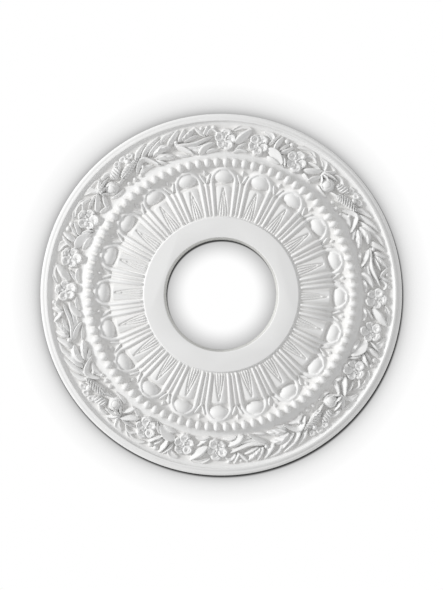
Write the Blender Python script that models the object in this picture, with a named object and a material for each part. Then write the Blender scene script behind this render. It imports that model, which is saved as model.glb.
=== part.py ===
"""A moulded white ceiling rose, 406 mm across, lying on its back with its carved face up.

The whole rose is one casting: a flat collar round the cable hole, a ring of twenty tongues,
a ring of ninety beads, a coved frieze of flowers and leaves that repeats four times, and a
stepped rim. Z = 0 is the back, which goes against the ceiling, and the origin is the middle of
the hole there. Angles are in degrees, clockwise from +Y as the carved face is seen.
"""
import math

import bmesh
import bpy
from mathutils import Vector
from mathutils.geometry import delaunay_2d_cdt

MM = 0.001

# Sizes across the rose, in metres
OUTER_RADIUS = 203.2 * MM
HOLE_RADIUS = 63.5 * MM
HOLE_DRAFT = 1.6 * MM
COLLAR_WIDTH = 22.6 * MM
BEAD_BAND_WIDTH = 19.0 * MM
FRIEZE_WIDTH = 33.4 * MM
RIM_WIDTH = 12.2 * MM

# Heights above the back, in metres
COLLAR_HEIGHT = 27.5 * MM
FIELD_HEIGHT = 24.6 * MM
TONGUE_FOOT_HEIGHT = 17.4 * MM
BEAD_SEAT_HEIGHT = 22.2 * MM
FRIEZE_INNER_HEIGHT = 15.0 * MM
FRIEZE_GROUND_HEIGHT = 10.4 * MM
RIM_HEIGHT = 15.2 * MM
EDGE_HEIGHT = 5.6 * MM

# The collar's rounded edges
COLLAR_EDGE = 0.9 * MM

# Beads
BEAD_COUNT = 90
BEAD_RADIUS = 4.7 * MM
BEAD_PROUD = 4.6 * MM
BEAD_SLOPE_WIDTH = 4.6 * MM

# Tongues: each one fills its pitch, between two thin stems
TONGUE_COUNT = 20
FIRST_TONGUE_ANGLE = 1.2
BORDER_HALF_ANGLE = 6.1
BORDER_HALF_WIDTH_ANGLE = 1.7
BORDER_PROUD = 1.8 * MM
BODY_PROUD = 2.0 * MM
GROOVE_DEPTH = 1.0 * MM
GROOVE_SHARE = 0.2
ARCH_RISE = 14.6 * MM
ARCH_OVER_BEAD_SLOPE = 1.2 * MM
ARCH_STILT = 3.0 * MM
LEAST_ARCH_SHARE = 0.28
BULB_HALF_ANGLE = 4.9
BULB_HALF_LENGTH = 5.8 * MM
BULB_FROM_END = 5.9 * MM
BULB_PROUD = 5.2 * MM
BULB_SHOULDER_SHARE = 0.8

# The stem between two tongues, and the dart bud past its end
STEM_HALF_ANGLE = 1.2
STEM_PROUD = 0.9 * MM
STEM_OVER_SPRING = 1.4 * MM
DART_HALF_ANGLE = 1.8
DART_HALF_LENGTH = 4.0 * MM
DART_FROM_END = 1.0 * MM
DART_PROUD = 2.0 * MM

# Rim profile, as the widths of its slopes and flats from the frieze outwards
RIM_COVE_WIDTH = 2.8 * MM
RIM_FLAT_WIDTH = 3.2 * MM
RIM_STEP_WIDTH = 1.0 * MM
RIM_STEP_DEPTH = 1.4 * MM
RIM_SHOULDER_OUT = 0.6
RIM_SHOULDER_UP = 0.7
FRIEZE_OUTER_HEIGHT = 11.8 * MM

# The frieze is drawn on a strip 30 units high, and 90 degrees long
STRIP_HEIGHT = 30.0
STRIP_MARGIN = 0.8
STRIP_LENGTH = 90.0
STRIP_REPEATS = 4
RELIEF_HEIGHT = 6.2 * MM
RELIEF_FADE_SHARE = 0.125
COVE_LOW_SHARE = 0.62

# A leaf is widest near its root, and its blunt outline and crest follow powers of a sine
LEAF_WIDEST_POWER = 0.85
LEAF_BLUNT_POWER = 0.7
LEAF_TIP_HEIGHT = 0.45
LEAF_END_SHARE = 0.02
LEAF_STEPS = 12

# How finely circles are faceted
EDGE_FACETS = 92
FRIEZE_FACETS = 120
COVE_FACETS = 60
PLAN_TOLERANCE = 0.02 * MM
WELD_DISTANCE = 0.002 * MM
SMOOTH_ANGLE = 35

COLLAR_RADIUS = HOLE_RADIUS + COLLAR_WIDTH
FRIEZE_OUTER_RADIUS = OUTER_RADIUS - RIM_WIDTH
FRIEZE_INNER_RADIUS = FRIEZE_OUTER_RADIUS - FRIEZE_WIDTH
BEAD_BAND_INNER_RADIUS = FRIEZE_INNER_RADIUS - BEAD_BAND_WIDTH
BEAD_CENTRE_RADIUS = (FRIEZE_INNER_RADIUS + BEAD_BAND_INNER_RADIUS) / 2
TONGUE_PITCH = 360 / TONGUE_COUNT
BEAD_PITCH = 360 / BEAD_COUNT
ARCH_SPRING_RADIUS = BEAD_BAND_INNER_RADIUS + ARCH_OVER_BEAD_SLOPE - ARCH_RISE
UNIT = FRIEZE_WIDTH / STRIP_HEIGHT
UNITS_PER_DEGREE = math.radians(1) * (FRIEZE_INNER_RADIUS + FRIEZE_OUTER_RADIUS) / 2 / UNIT


def clear_scene():
    for found in list(bpy.data.objects):
        bpy.data.objects.remove(found, do_unlink=True)


def white_plastic():
    """Moulded polyurethane with a primed matt white face."""
    made = bpy.data.materials.new("white_polyurethane")
    made.use_nodes = True
    shader = made.node_tree.nodes["Principled BSDF"]
    shader.inputs["Base Color"].default_value = (0.83, 0.83, 0.82, 1.0)
    shader.inputs["Roughness"].default_value = 0.62
    shader.inputs["Metallic"].default_value = 0.0
    return made


def plan_point(angle, radius):
    turn = math.radians(angle)
    return radius * math.sin(turn), radius * math.cos(turn)


def blend(low, high, share):
    return low + (high - low) * share


def ridge(distance, half_width):
    """A roof-shaped ridge: 1 on its line, 0 from half_width outwards."""
    return max(0.0, 1 - abs(distance) / half_width)


def field_height(radius):
    """The plain slope under the tongues, which rises towards the collar."""
    share = (radius - COLLAR_RADIUS) / (BEAD_BAND_INNER_RADIUS - COLLAR_RADIUS)
    return blend(FIELD_HEIGHT, TONGUE_FOOT_HEIGHT, share)


def arch_share(radius):
    """How wide a tongue's border still is at this radius, 1 below its arch and 0 at the top."""
    rise = max(0.0, (radius - ARCH_SPRING_RADIUS) / ARCH_RISE)
    return math.sqrt(max(0.0, 1 - rise * rise))


def tongue_height(offset, radius):
    """The carved field, offset degrees from a tongue's middle line."""
    rise = max(0.0, (radius - ARCH_SPRING_RADIUS) / ARCH_RISE)
    across = math.hypot(offset / BORDER_HALF_ANGLE, rise)
    relief = BORDER_PROUD * ridge(across - 1, BORDER_HALF_WIDTH_ANGLE / BORDER_HALF_ANGLE)
    body_edge = 1 - BORDER_HALF_WIDTH_ANGLE / BORDER_HALF_ANGLE
    relief += BODY_PROUD * max(0.0, 1 - (across / body_edge) ** 2)
    relief -= GROOVE_DEPTH * ridge(across - body_edge, GROOVE_SHARE)
    bulb_radius = BEAD_BAND_INNER_RADIUS - BULB_FROM_END
    bulb_reach = math.hypot(offset / BULB_HALF_ANGLE, (radius - bulb_radius) / BULB_HALF_LENGTH)
    relief = max(relief, BULB_PROUD * math.sqrt(max(0.0, 1 - bulb_reach ** 2)))
    from_stem = TONGUE_PITCH / 2 - abs(offset)
    if radius < ARCH_SPRING_RADIUS + STEM_OVER_SPRING:
        relief = max(relief, STEM_PROUD * ridge(from_stem, STEM_HALF_ANGLE))
    else:
        from_dart = (radius - BEAD_BAND_INNER_RADIUS + DART_FROM_END) / DART_HALF_LENGTH
        relief = max(relief, DART_PROUD * ridge(math.hypot(from_stem / DART_HALF_ANGLE, from_dart), 1.0))
    return field_height(radius) + relief


def tongue_ring(radius):
    """One ring of points, on each tongue's lines: stem, grooves, border, shoulders and crown."""
    width = max(LEAST_ARCH_SHARE, arch_share(radius))
    border = BORDER_HALF_ANGLE * width
    inner_groove = (BORDER_HALF_ANGLE - BORDER_HALF_WIDTH_ANGLE) * width
    outer_groove = (border + TONGUE_PITCH / 2) / 2
    rising = [inner_groove / 2, inner_groove, border, outer_groove]
    falling = [TONGUE_PITCH - offset for offset in reversed(rising)]
    offsets = [0.0] + rising + [TONGUE_PITCH / 2] + falling
    ring = []
    for tongue in range(TONGUE_COUNT):
        middle = FIRST_TONGUE_ANGLE + tongue * TONGUE_PITCH
        for offset in offsets:
            nearest = offset if offset <= TONGUE_PITCH / 2 else offset - TONGUE_PITCH
            ring.append((middle + offset, radius, tongue_height(nearest, radius)))
    return ring


def bead_seat_height(radius):
    """The plain ridge that the beads sit on, with a slope down to each side."""
    flat = BEAD_BAND_WIDTH / 2 - BEAD_SLOPE_WIDTH
    out = radius - BEAD_CENTRE_RADIUS
    foot = FRIEZE_INNER_HEIGHT if out > 0 else TONGUE_FOOT_HEIGHT
    share = max(0.0, (abs(out) - flat) / BEAD_SLOPE_WIDTH)
    return blend(BEAD_SEAT_HEIGHT, foot, share)


def bead_ring(radius, sides_per_bead):
    """One ring of points over the beads: 2 a bead is gap and crown, 4 adds both shoulders."""
    ring = []
    for bead in range(BEAD_COUNT):
        for side in range(sides_per_bead):
            off_gap = side / sides_per_bead
            angle = (bead + off_gap) * BEAD_PITCH
            along = (off_gap - 0.5) * math.radians(BEAD_PITCH) * BEAD_CENTRE_RADIUS
            reach = math.hypot(along, radius - BEAD_CENTRE_RADIUS) / BEAD_RADIUS
            dome = BEAD_PROUD * math.sqrt(max(0.0, 1 - reach ** 2))
            ring.append((angle, radius, bead_seat_height(radius) + dome))
    return ring


def plain_ring(radius, height, facets):
    return [(facet * 360 / facets, radius, height) for facet in range(facets)]


def cove_height(across):
    """The frieze's hollow ground, by the share across it from its inner edge."""
    if across < COVE_LOW_SHARE:
        share = math.sin(across / COVE_LOW_SHARE * math.pi / 2)
        return blend(FRIEZE_INNER_HEIGHT, FRIEZE_GROUND_HEIGHT, share)
    share = 1 - math.cos((across - COVE_LOW_SHARE) / (1 - COVE_LOW_SHARE) * math.pi / 2)
    return blend(FRIEZE_GROUND_HEIGHT, FRIEZE_OUTER_HEIGHT, share)


class Leaf:
    """A blade that lies along a curve, pointed at both ends and ridged along its middle."""

    def __init__(self, route, half_width, height=1.0, stations=2):
        self.line = [Vector((angle * UNITS_PER_DEGREE, up)) for angle, up in route]
        self.half_width = half_width
        self.height = height
        self.stations = stations

    def at(self, share):
        """The route's point at this share of it, on a smooth curve through its points."""
        last = len(self.line) - 1
        place = min(share * last, last - 1e-9)
        leg = int(place)
        part = place - leg
        before = self.line[max(leg - 1, 0)]
        start = self.line[leg]
        end = self.line[leg + 1]
        after = self.line[min(leg + 2, last)]
        leave = (end - before) / 2
        arrive = (after - start) / 2
        return (start * (2 * part ** 3 - 3 * part ** 2 + 1) + leave * (part ** 3 - 2 * part ** 2 + part)
                + end * (3 * part ** 2 - 2 * part ** 3) + arrive * (part ** 3 - part ** 2))

    def width_at(self, share):
        return self.half_width * math.sin(math.pi * share ** LEAF_WIDEST_POWER) ** LEAF_BLUNT_POWER

    def crest_at(self, share):
        return self.height * blend(LEAF_TIP_HEIGHT, 1.0, math.sin(math.pi * share))

    def drawn(self):
        """Its outline and its ridge, as two lists of points."""
        shares = [step / (self.stations + 1) for step in range(self.stations + 2)]
        spine = [self.at(share) for share in shares]
        left = []
        right = []
        for share, point in list(zip(shares, spine))[1:-1]:
            along = (self.at(share + LEAF_END_SHARE) - self.at(share - LEAF_END_SHARE)).normalized()
            side = Vector((-along.y, along.x)) * self.width_at(share)
            left.append(point + side)
            right.append(point - side)
        return [spine[0]] + left + [spine[-1]] + right[::-1], spine

    def height_at(self, point):
        best = 0.0
        for step in range(LEAF_STEPS + 1):
            share = min(max(step / LEAF_STEPS, LEAF_END_SHARE), 1 - LEAF_END_SHARE)
            reach = (point - self.at(share)).length
            width = self.width_at(share)
            if reach < width:
                best = max(best, self.crest_at(share) * (1 - reach / width))
        return best


class Dome:
    """A rounded petal, bud or berry."""

    def __init__(self, angle, up, radius, height=1.0, sides=6):
        self.centre = Vector((angle * UNITS_PER_DEGREE, up))
        self.radius = radius
        self.height = height
        self.sides = sides

    def drawn(self):
        turns = [side * math.tau / self.sides for side in range(self.sides)]
        outline = [self.centre + Vector((math.cos(turn), math.sin(turn))) * self.radius for turn in turns]
        return outline, [self.centre]

    def height_at(self, point):
        reach = (point - self.centre).length / self.radius
        return self.height * math.sqrt(max(0.0, 1 - reach * reach))


def flower(angle, up, radius, petal_radius, first_petal, height):
    """Five round petals about a low middle."""
    petals = []
    for petal in range(5):
        turn = math.radians(first_petal + petal * 72)
        out = radius / UNITS_PER_DEGREE
        petals.append(Dome(angle + math.sin(turn) * out, up + math.cos(turn) * radius, petal_radius, height))
    return petals


def frieze_motifs():
    """One repeat of the frieze, as (degrees along, units up) on its strip."""
    motifs = flower(1.5, 14.3, 7.6, 4.5, 8, 0.9)
    motifs += flower(13.8, 12.2, 8.3, 5.0, 30, 0.95)
    motifs += flower(29.7, 11.6, 8.1, 5.0, 10, 0.95)
    # Blades between the first two flowers
    motifs.append(Leaf([(4.6, 24.6), (7.3, 28.2), (10.7, 27.0)], 1.8, 0.72))
    motifs.append(Leaf([(5.2, 13.6), (7.4, 19.6), (10.0, 25.2)], 2.8, 1.0))
    motifs.append(Leaf([(5.4, 2.8), (7.8, 5.2), (10.3, 4.4)], 1.6, 0.6, 1))
    # Blades, budding sheaf and broad leaf between the second flower and the third
    motifs.append(Leaf([(14.4, 25.2), (17.0, 27.6), (19.4, 26.8)], 1.8, 0.65, 1))
    motifs.append(Leaf([(18.0, 16.0), (18.9, 21.5), (20.2, 28.0)], 1.9, 0.7))
    motifs.append(Leaf([(20.4, 15.2), (22.0, 21.5), (22.6, 28.2)], 2.8, 1.1))
    motifs.append(Leaf([(22.8, 13.6), (24.8, 19.6), (25.8, 26.4)], 2.6, 1.0))
    motifs.append(Leaf([(17.4, 13.6), (21.2, 11.9), (24.8, 3.2)], 3.0, 0.9))
    # The arching blade over the third flower, and the blades after it
    motifs.append(Leaf([(27.8, 25.8), (31.8, 28.4), (35.8, 21.0)], 1.9, 0.7, 3))
    motifs.append(Leaf([(33.8, 9.2), (36.3, 12.2), (39.2, 18.6)], 2.8, 0.95))
    motifs.append(Leaf([(38.8, 20.2), (37.5, 24.8), (37.0, 29.4)], 2.4, 0.7, 1))
    motifs.append(Leaf([(37.4, 2.2), (38.6, 8.0), (40.2, 15.0)], 2.0, 0.65))
    # Rosebud with its sepals
    motifs.append(Dome(44.4, 14.6, 7.6, 1.2, 8))
    motifs.append(Leaf([(40.2, 16.6), (41.6, 20.6), (42.6, 25.4)], 1.8, 0.85, 1))
    motifs.append(Leaf([(43.0, 22.4), (45.8, 23.6), (48.2, 20.6)], 2.1, 0.75, 1))
    # Carnation: a swelling body, and the petals that fan from it
    motifs.append(Leaf([(47.4, 9.4), (53.0, 13.8), (58.4, 17.6)], 6.0, 1.15, 3))
    motifs.append(Leaf([(49.8, 18.8), (50.8, 23.4), (51.6, 29.2)], 2.7, 0.85))
    motifs.append(Leaf([(52.8, 19.0), (53.8, 24.2), (54.4, 29.6)], 2.8, 0.9))
    motifs.append(Leaf([(55.6, 18.6), (57.0, 22.4), (57.2, 27.4)], 2.5, 0.9))
    # Curled leaf, then the blades that lean over the tulip
    motifs.append(Leaf([(55.6, 7.2), (60.0, 13.6), (64.4, 2.6)], 2.4, 0.85, 3))
    motifs.append(Leaf([(59.6, 16.6), (63.2, 22.8), (68.0, 27.8)], 2.4, 0.78))
    motifs.append(Leaf([(62.4, 15.4), (65.6, 19.8), (67.8, 24.4)], 2.4, 0.78))
    motifs.append(Leaf([(68.4, 19.4), (70.4, 24.2), (73.4, 27.4)], 1.8, 0.62, 1))
    motifs.append(Leaf([(71.2, 16.4), (73.4, 21.8), (75.2, 28.0)], 2.3, 0.75))
    # Tulip of two lobes
    motifs.append(Leaf([(64.2, 11.6), (68.2, 13.6), (71.8, 12.6)], 3.6, 1.2))
    motifs.append(Leaf([(64.8, 9.2), (68.4, 6.8), (71.6, 6.0)], 3.0, 1.0))
    # Five-lobed leaf
    motifs.append(Leaf([(75.2, 16.6), (78.2, 21.0), (80.6, 26.2)], 4.3, 1.0))
    motifs.append(Leaf([(75.2, 15.0), (80.4, 12.6), (87.2, 17.6)], 2.4, 0.95, 3))
    motifs.append(Leaf([(74.6, 12.0), (76.4, 7.4), (78.6, 2.6)], 2.0, 0.75))
    motifs.append(Leaf([(81.6, 0.8), (83.2, 6.4), (87.2, 10.8)], 2.7, 0.85))
    # Twig of small leaves
    motifs.append(Leaf([(84.0, 18.6), (82.6, 23.0), (81.0, 27.8)], 1.8, 0.62, 1))
    motifs.append(Leaf([(83.8, 18.8), (84.8, 23.6), (85.4, 28.2)], 1.7, 0.62, 1))
    return motifs


def frieze_height(point, motifs):
    """Ground and carving at a point of the strip, in metres above the back."""
    length = STRIP_LENGTH * UNITS_PER_DEGREE
    relief = 0.0
    for shift in (-length, 0.0, length):
        moved = point + Vector((shift, 0.0))
        for motif in motifs:
            relief = max(relief, motif.height_at(moved))
    across = point.y / STRIP_HEIGHT
    fade = min(1.0, across / RELIEF_FADE_SHARE, (1 - across) / RELIEF_FADE_SHARE)
    return cove_height(across) + RELIEF_HEIGHT * relief * max(0.0, fade)


def strip_to_plan(point, repeat):
    angle = point.x / UNITS_PER_DEGREE + repeat * STRIP_LENGTH
    up = min(max(point.y, STRIP_MARGIN), STRIP_HEIGHT - STRIP_MARGIN)
    return plan_point(angle, FRIEZE_INNER_RADIUS + up * UNIT)


def add_frieze(work, inner_ring, outer_ring):
    """The carved band, triangulated through every outline and ridge of its motifs."""
    motifs = frieze_motifs()
    points = []
    edges = []

    def add_line(line, closed):
        start = len(points)
        points.extend(Vector((x / MM, y / MM)) for x, y in line)
        count = len(line)
        for step in range(count if closed else count - 1):
            edges.append((start + step, start + (step + 1) % count))

    add_line([plan_point(angle, radius) for angle, radius, _ in inner_ring], True)
    add_line([plan_point(angle, radius) for angle, radius, _ in outer_ring], True)
    low_radius = FRIEZE_INNER_RADIUS + COVE_LOW_SHARE * FRIEZE_WIDTH
    for step in range(COVE_FACETS):
        points.append(Vector(plan_point((step + 0.5) * 360 / COVE_FACETS, low_radius)) / MM)
    for repeat in range(STRIP_REPEATS):
        for motif in motifs:
            outline, spine = motif.drawn()
            add_line([strip_to_plan(point, repeat) for point in outline], True)
            add_line([strip_to_plan(point, repeat) for point in spine], False)
    found, _, faces, _, _, _ = delaunay_2d_cdt(points, edges, [], 0, PLAN_TOLERANCE / MM)
    placed = []
    for point in found:
        x = point.x * MM
        y = point.y * MM
        radius = math.hypot(x, y)
        angle = math.degrees(math.atan2(x, y)) % 360
        on_strip = Vector((angle % STRIP_LENGTH * UNITS_PER_DEGREE, (radius - FRIEZE_INNER_RADIUS) / UNIT))
        placed.append(work.verts.new((x, y, frieze_height(on_strip, motifs))))
    for face in faces:
        middle = sum((Vector((placed[corner].co.x, placed[corner].co.y)) for corner in face), Vector((0, 0)))
        if middle.length / 3 > FRIEZE_INNER_RADIUS * math.cos(math.pi / BEAD_COUNT):
            work.faces.new([placed[corner] for corner in face])


def add_ring(work, ring):
    placed = []
    for angle, radius, height in ring:
        x, y = plan_point(angle, radius)
        placed.append((angle, work.verts.new((x, y, height))))
    return placed


def stitch(work, inner, outer):
    """A band of triangles between two rings, each step taking the nearer next point."""
    inner_count = len(inner)
    outer_count = len(outer)
    inner_step = 0
    outer_step = 0

    def angle_of(ring, step):
        return ring[step % len(ring)][0] + 360 * (step // len(ring))

    def corner(ring, step):
        return ring[step % len(ring)][1]

    while inner_step < inner_count or outer_step < outer_count:
        next_inner = angle_of(inner, inner_step + 1) + angle_of(inner, inner_step)
        next_outer = angle_of(outer, outer_step + 1) + angle_of(outer, outer_step)
        take_inner = next_inner <= next_outer
        if inner_step == inner_count:
            take_inner = False
        if outer_step == outer_count:
            take_inner = True
        if take_inner:
            corners = [corner(inner, inner_step), corner(outer, outer_step), corner(inner, inner_step + 1)]
            inner_step += 1
        else:
            corners = [corner(inner, inner_step), corner(outer, outer_step), corner(outer, outer_step + 1)]
            outer_step += 1
        work.faces.new(corners)


def build_rose():
    work = bmesh.new()
    bulb_radius = BEAD_BAND_INNER_RADIUS - BULB_FROM_END
    arch_top_radius = ARCH_SPRING_RADIUS + ARCH_RISE
    tongue_radii = [COLLAR_RADIUS + COLLAR_EDGE, ARCH_SPRING_RADIUS - ARCH_STILT,
                    bulb_radius - BULB_HALF_LENGTH, bulb_radius,
                    bulb_radius + BULB_SHOULDER_SHARE * BULB_HALF_LENGTH, arch_top_radius]
    rings = [plain_ring(HOLE_RADIUS - HOLE_DRAFT, 0.0, EDGE_FACETS),
             plain_ring(HOLE_RADIUS, COLLAR_HEIGHT - COLLAR_EDGE, EDGE_FACETS),
             plain_ring(HOLE_RADIUS + COLLAR_EDGE, COLLAR_HEIGHT, EDGE_FACETS),
             plain_ring(COLLAR_RADIUS - COLLAR_EDGE, COLLAR_HEIGHT, EDGE_FACETS)]
    rings += [tongue_ring(radius) for radius in tongue_radii]
    bead_foot = BEAD_BAND_WIDTH / 2 - BEAD_SLOPE_WIDTH
    rings += [bead_ring(BEAD_CENTRE_RADIUS - bead_foot, 2),
              bead_ring(BEAD_CENTRE_RADIUS - bead_foot / 2, 2),
              bead_ring(BEAD_CENTRE_RADIUS, 4),
              bead_ring(BEAD_CENTRE_RADIUS + bead_foot / 2, 2),
              bead_ring(BEAD_CENTRE_RADIUS + bead_foot, 2),
              plain_ring(FRIEZE_INNER_RADIUS, FRIEZE_INNER_HEIGHT, FRIEZE_FACETS)]
    frieze_edge = plain_ring(FRIEZE_OUTER_RADIUS, FRIEZE_OUTER_HEIGHT, FRIEZE_FACETS)
    flat_start = FRIEZE_OUTER_RADIUS + RIM_COVE_WIDTH
    flat_end = flat_start + RIM_FLAT_WIDTH
    step_end = flat_end + RIM_STEP_WIDTH
    step_height = RIM_HEIGHT - RIM_STEP_DEPTH
    shoulder = blend(step_end, OUTER_RADIUS, RIM_SHOULDER_OUT)
    rim = [frieze_edge,
           plain_ring(flat_start, RIM_HEIGHT, EDGE_FACETS),
           plain_ring(flat_end, RIM_HEIGHT, EDGE_FACETS),
           plain_ring(step_end, step_height, EDGE_FACETS),
           plain_ring(shoulder, blend(EDGE_HEIGHT, step_height, RIM_SHOULDER_UP), EDGE_FACETS),
           plain_ring(OUTER_RADIUS, EDGE_HEIGHT, EDGE_FACETS),
           plain_ring(OUTER_RADIUS, 0.0, EDGE_FACETS)]
    for group in (rings, rim):
        placed = [add_ring(work, ring) for ring in group]
        for inner, outer in zip(placed, placed[1:]):
            stitch(work, inner, outer)
    add_frieze(work, rings[-1], frieze_edge)
    back = [add_ring(work, rim[-1]), add_ring(work, rings[0])]
    stitch(work, back[0], back[1])
    bmesh.ops.remove_doubles(work, verts=work.verts, dist=WELD_DISTANCE)
    bmesh.ops.recalc_face_normals(work, faces=work.faces)
    mesh = bpy.data.meshes.new("ceiling_rose")
    work.to_mesh(mesh)
    work.free()
    mesh.shade_smooth()
    mesh.set_sharp_from_angle(angle=math.radians(SMOOTH_ANGLE))
    mesh.materials.append(white_plastic())
    rose = bpy.data.objects.new("ceiling_rose", mesh)
    bpy.context.scene.collection.objects.link(rose)


clear_scene()
build_rose()
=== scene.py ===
import math

import bpy
import numpy as np
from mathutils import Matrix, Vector


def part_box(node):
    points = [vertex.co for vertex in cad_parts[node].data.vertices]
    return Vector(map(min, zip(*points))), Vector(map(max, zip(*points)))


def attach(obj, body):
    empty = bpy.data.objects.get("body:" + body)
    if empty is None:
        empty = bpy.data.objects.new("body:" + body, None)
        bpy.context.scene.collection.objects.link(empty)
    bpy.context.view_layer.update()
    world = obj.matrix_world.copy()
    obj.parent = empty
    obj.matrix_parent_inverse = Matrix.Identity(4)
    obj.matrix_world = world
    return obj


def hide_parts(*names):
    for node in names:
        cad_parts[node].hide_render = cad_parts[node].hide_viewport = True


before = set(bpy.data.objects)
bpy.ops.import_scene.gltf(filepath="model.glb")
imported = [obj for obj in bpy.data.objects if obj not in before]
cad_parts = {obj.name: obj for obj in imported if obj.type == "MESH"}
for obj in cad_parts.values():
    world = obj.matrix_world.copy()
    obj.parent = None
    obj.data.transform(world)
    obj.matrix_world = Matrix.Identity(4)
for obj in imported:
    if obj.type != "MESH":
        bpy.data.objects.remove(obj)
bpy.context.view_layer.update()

# The skin is thinned later, which bows it out a little, so it is drawn just inside the box
MM = 0.001
SIDE_ALLOWANCE = 0.05 * MM
TOP_ALLOWANCE = 0.02 * MM
low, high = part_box("ceiling_rose")
OUTER = high[0] - SIDE_ALLOWANCE
BACK = low[2]
COLLAR_TOP = high[2] - TOP_ALLOWANCE
HOLE = 63.5 * MM
HOLE_DRAFT = 1.6 * MM
HOLE_BACK = HOLE - HOLE_DRAFT
EDGE_ROUND = 0.9 * MM
COLLAR_EDGE_RADIUS = 86.1 * MM
COLLAR_FOOT = COLLAR_EDGE_RADIUS + EDGE_ROUND
FIELD_END = OUTER - 64.6 * MM
FRIEZE_INNER = OUTER - 45.6 * MM
FRIEZE_OUTER = OUTER - 12.2 * MM
BEAD_CENTRE = (FIELD_END + FRIEZE_INNER) / 2 - 0.6 * MM

BODY_FOOT_AT = FIELD_END - 16.3 * MM
BASIN_AT = FIELD_END - 13.2 * MM
RIDGE_START = FIELD_END + 6.2 * MM
RIDGE_END = RIDGE_START + 1.2 * MM
CREST_END = FIELD_END + 12.6 * MM
RIDGE_FOOT_AT = FIELD_END + 16.6 * MM
RIM_FLAT_START = FRIEZE_OUTER + 3.8 * MM
RIM_FLAT_END = FRIEZE_OUTER + 6.0 * MM
RIM_STEP_END = RIM_FLAT_END + 1.0 * MM

FIELD_TOP = BACK + 24.6 * MM
BODY_FOOT = BACK + 19.4 * MM
BASIN = BACK + 15.6 * MM
BASIN_HOLLOW = 1.5
FIELD_FOOT = BACK + 17.4 * MM
BEAD_RIDGE = BACK + 22.2 * MM
RIDGE_ROUND = 0.1 * MM
CREST_LOW = BEAD_RIDGE - 1.5 * MM
FRIEZE_INNER_TOP = BACK + 15.0 * MM
RIDGE_FOOT = FRIEZE_INNER_TOP + 0.5 * MM
FRIEZE_LOWEST = BACK + 11.2 * MM
LOWEST_SHARE = 0.62
FRIEZE_OUTER_TOP = BACK + 11.8 * MM
RIM_TOP = BACK + 15.2 * MM
RIM_STEP = RIM_TOP - 1.4 * MM
RIM_STEP_ROUND = 0.2 * MM
RIM_STEP_DROP = 0.3 * MM
RIM_FULLNESS = 2.6
EDGE_TOP = BACK + 5.6 * MM
BACK_ROUND = 0.4 * MM
BACK_MARGIN = 20 * MM
LOWEST_CARVED = BACK + 6 * MM

AROUND = 1440
EDGE_ROWS = 4
BODY_ROWS = 44
BODY_END_ROWS = 5
BASIN_ROWS = 15
RIDGE_ROWS = 9
CREST_ROWS = 6
RIDGE_FOOT_ROWS = 2
FRIEZE_ROWS = 60
RIM_COVE_ROWS = 5
RIM_ROUND_ROWS = 9
angles = np.arange(AROUND) * 360 / AROUND


def spread(start, end, count):
    """Places from start towards end, without end itself."""
    return start + (end - start) * np.arange(count) / count


def round_in(start_radius, start_height, end_radius, end_height, count):
    """A quarter of an ellipse that leaves its start straight up or down."""
    turn = np.arange(count) / count * math.pi / 2
    return (start_radius + (end_radius - start_radius) * (1 - np.cos(turn)),
            start_height + (end_height - start_height) * np.sin(turn))


def round_over(start_radius, start_height, end_radius, end_height, count, fullness=2.0):
    """A quarter of an ellipse that leaves its start level; fullness squares its shoulder."""
    turn = np.arange(count) / count * math.pi / 2
    return (start_radius + (end_radius - start_radius) * np.sin(turn) ** (2 / fullness),
            start_height + (end_height - start_height) * (1 - np.cos(turn) ** (2 / fullness)))


def cove(across):
    """Height of the frieze's hollow ground, by the share across it."""
    fall = np.sin(np.clip(across / LOWEST_SHARE, 0, 1) * math.pi / 2)
    rise = 1 - np.cos(np.clip((across - LOWEST_SHARE) / (1 - LOWEST_SHARE), 0, 1) * math.pi / 2)
    inside = FRIEZE_INNER_TOP + (FRIEZE_LOWEST - FRIEZE_INNER_TOP) * fall
    outside = FRIEZE_LOWEST + (FRIEZE_OUTER_TOP - FRIEZE_LOWEST) * rise
    return np.where(across < LOWEST_SHARE, inside, outside)


# Each stretch of the profile is a row of radii and a row of heights, from the hole outwards
basin_share = np.arange(BASIN_ROWS) / BASIN_ROWS
frieze_share = np.arange(FRIEZE_ROWS) / FRIEZE_ROWS
frieze_rows = FRIEZE_INNER + (FRIEZE_OUTER - FRIEZE_INNER) * frieze_share
hole_foot = ([HOLE_BACK + EDGE_ROUND / 2, HOLE_BACK], [BACK, BACK + EDGE_ROUND / 2])
hole_wall = (spread(HOLE_BACK, HOLE, EDGE_ROWS)[1:],
             spread(BACK, COLLAR_TOP - EDGE_ROUND, EDGE_ROWS)[1:])
hole_edge = round_in(HOLE, COLLAR_TOP - EDGE_ROUND, HOLE + EDGE_ROUND, COLLAR_TOP, EDGE_ROWS)
collar = (spread(HOLE + EDGE_ROUND, COLLAR_EDGE_RADIUS - EDGE_ROUND, EDGE_ROWS),
          [COLLAR_TOP] * EDGE_ROWS)
collar_edge = round_over(COLLAR_EDGE_RADIUS - EDGE_ROUND, COLLAR_TOP, COLLAR_EDGE_RADIUS,
                         COLLAR_TOP - EDGE_ROUND, EDGE_ROWS)
bodies = (spread(COLLAR_FOOT, BODY_FOOT_AT, BODY_ROWS), spread(FIELD_TOP, BODY_FOOT, BODY_ROWS))
body_ends = (spread(BODY_FOOT_AT, BASIN_AT, BODY_END_ROWS),
             spread(BODY_FOOT, BASIN, BODY_END_ROWS))
basin = (BASIN_AT + (FIELD_END - BASIN_AT) * basin_share,
         BASIN + (FIELD_FOOT - BASIN) * basin_share ** BASIN_HOLLOW)
ridge_rise = (spread(FIELD_END, RIDGE_START, RIDGE_ROWS),
              spread(FIELD_FOOT, BEAD_RIDGE - 3 * RIDGE_ROUND, RIDGE_ROWS))
ridge_top = (spread(RIDGE_START, RIDGE_END, 3),
             [BEAD_RIDGE - RIDGE_ROUND, BEAD_RIDGE, BEAD_RIDGE - RIDGE_ROUND])
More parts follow.
